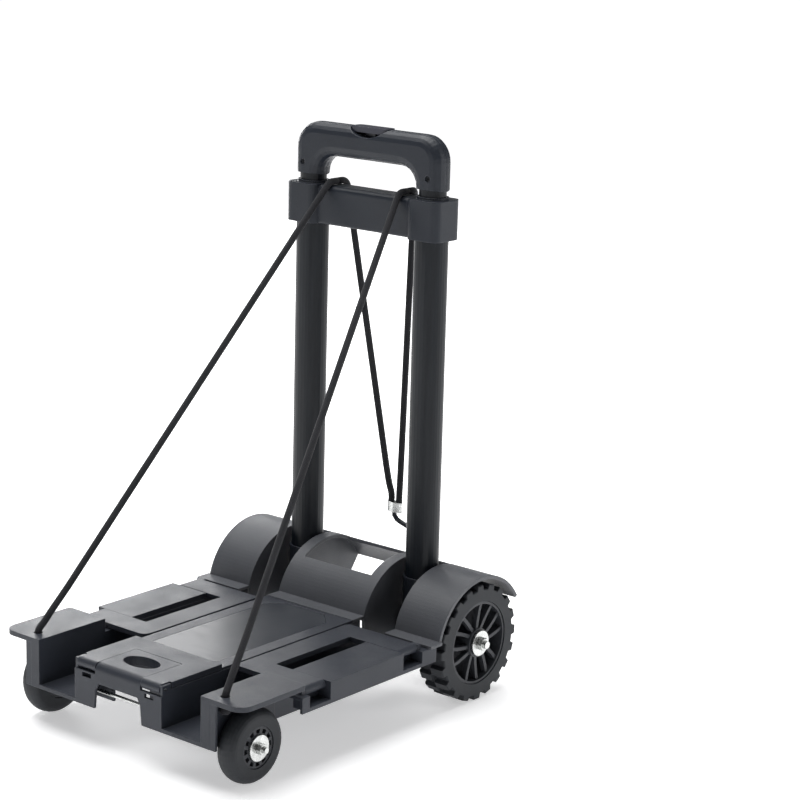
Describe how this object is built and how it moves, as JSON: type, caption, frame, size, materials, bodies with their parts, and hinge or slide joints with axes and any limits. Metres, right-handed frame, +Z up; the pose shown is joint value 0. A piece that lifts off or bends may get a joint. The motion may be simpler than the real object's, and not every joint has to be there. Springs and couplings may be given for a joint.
{
  "type": "folding luggage cart",
  "caption": "Compact wheeled luggage cart with a flat deck, a folding telescopic mast with arched grip, swing-out side flaps and an elastic load cord with a hook.",
  "frame": {"origin": "on the floor, in the middle of the footprint", "axes": "+Z up along the mast, +X to the cart's right along the rear axle, -Y towards the deck's front edge"},
  "size_m": [0.342, 0.4263, 0.5846],
  "materials": {
    "deck_plastic": "fine grained moulding",
    "panel_gloss": "gloss",
    "tube_metal": "satin",
    "handle_plastic": "satin",
    "button_plastic": "gloss",
    "rim_plastic": "satin",
    "tyre_rubber": "matt",
    "zinc": "bright zinc plate",
    "cord_fabric": "woven"
  },
  "bodies": {
    "deck": {"deck_frame": "deck_plastic", "drum_housing": "deck_plastic", "deck_panel": "panel_gloss", "catch_rod": "zinc", "rear_axle": "zinc", "axle_spacer_left": "rim_plastic", "axle_spacer_right": "rim_plastic", "rear_washer_left": "zinc", "rear_washer_right": "zinc", "rear_nut_left": "zinc", "rear_nut_right": "zinc", "flap_pin_front_left": "zinc", "flap_pin_front_right": "zinc", "flap_pin_rear_left": "zinc", "flap_pin_rear_right": "zinc", "lid_pin_left": "zinc", "lid_pin_right": "zinc", "front_bolt_left": "zinc", "front_bolt_right": "zinc", "front_washer_left": "zinc", "front_washer_right": "zinc", "front_nut_left": "zinc", "front_nut_right": "zinc", "cord_knot_left": "cord_fabric", "cord_knot_right": "cord_fabric", "cord_front_left": "cord_fabric", "cord_front_right": "cord_fabric"},
    "mast": {"yoke": "handle_plastic", "cord_ferrule": "zinc", "cord_hook": "handle_plastic", "tube_foot_left": "handle_plastic", "tube_foot_right": "handle_plastic", "outer_tube_left": "tube_metal", "outer_tube_right": "tube_metal", "cord_rear_left": "cord_fabric", "cord_rear_right": "cord_fabric"},
    "handle": {"grip_front": "handle_plastic", "grip_rear": "handle_plastic", "inner_tube_left": "tube_metal", "inner_tube_right": "tube_metal", "tube_glide_left": "button_plastic", "tube_glide_right": "button_plastic", "grip_screw_left": "tube_metal", "grip_screw_right": "tube_metal"},
    "button": {"release_button": "button_plastic"},
    "flap_left": {"side_flap_left": "deck_plastic"},
    "flap_right": {"side_flap_right": "deck_plastic"},
    "lid": {"front_lid": "deck_plastic"},
    "rear_wheel_left": {"rear_tyre_left": "tyre_rubber", "rear_rim_left": "rim_plastic"},
    "front_wheel_left": {"front_tyre_left": "tyre_rubber", "front_hub_left": "rim_plastic"},
    "rear_wheel_right": {"rear_tyre_right": "tyre_rubber", "rear_rim_right": "rim_plastic"},
    "front_wheel_right": {"front_tyre_right": "tyre_rubber", "front_hub_right": "rim_plastic"}
  },
  "joints": [
    {"name": "mast_fold", "type": "hinge", "parent": "deck", "child": "mast", "pos_m": [0, 0.15075, 0.0625], "axis": [1, 0, 0], "range_deg": [0, 90], "deforming": ["cord_front_left", "cord_front_right", "cord_rear_left", "cord_rear_right"]},
    {"name": "handle_slide", "type": "slide", "parent": "mast", "child": "handle", "axis": [0, 0, 1], "range_m": [0, 0.35]},
    {"name": "button_press", "type": "slide", "parent": "handle", "child": "button", "axis": [0, 0, -1], "range_m": [0, 0.0035], "stiffness_N_per_m": 800, "springref_m": -0.001},
    {"name": "flap_left_swing", "type": "hinge", "parent": "deck", "child": "flap_left", "pos_m": [-0.151, -0.03075, 0.0798], "axis": [0, -1, 0], "range_deg": [0, 180]},
    {"name": "flap_right_swing", "type": "hinge", "parent": "deck", "child": "flap_right", "pos_m": [0.151, -0.03075, 0.0798], "axis": [0, 1, 0], "range_deg": [0, 180]},
    {"name": "lid_swing", "type": "hinge", "parent": "deck", "child": "lid", "pos_m": [0, -0.20775, 0.0828], "axis": [1, 0, 0], "range_deg": [0, 180]},
    {"name": "rear_wheel_left_spin", "type": "hinge", "parent": "deck", "child": "rear_wheel_left", "pos_m": [-0.143, 0.15075, 0.0625], "axis": [1, 0, 0], "continuous": true},
    {"name": "rear_wheel_right_spin", "type": "hinge", "parent": "deck", "child": "rear_wheel_right", "pos_m": [0.143, 0.15075, 0.0625], "axis": [1, 0, 0], "continuous": true},
    {"name": "front_wheel_left_spin", "type": "hinge", "parent": "deck", "child": "front_wheel_left", "pos_m": [-0.1359, -0.17125, 0.0375], "axis": [1, 0, 0], "continuous": true},
    {"name": "front_wheel_right_spin", "type": "hinge", "parent": "deck", "child": "front_wheel_right", "pos_m": [0.1359, -0.17125, 0.0375], "axis": [1, 0, 0], "continuous": true}
  ],
  "couplings": [
    {"joint": "flap_left_swing", "follows": "mast_fold", "ratio": 2},
    {"joint": "flap_right_swing", "follows": "mast_fold", "ratio": 2}
  ]
}
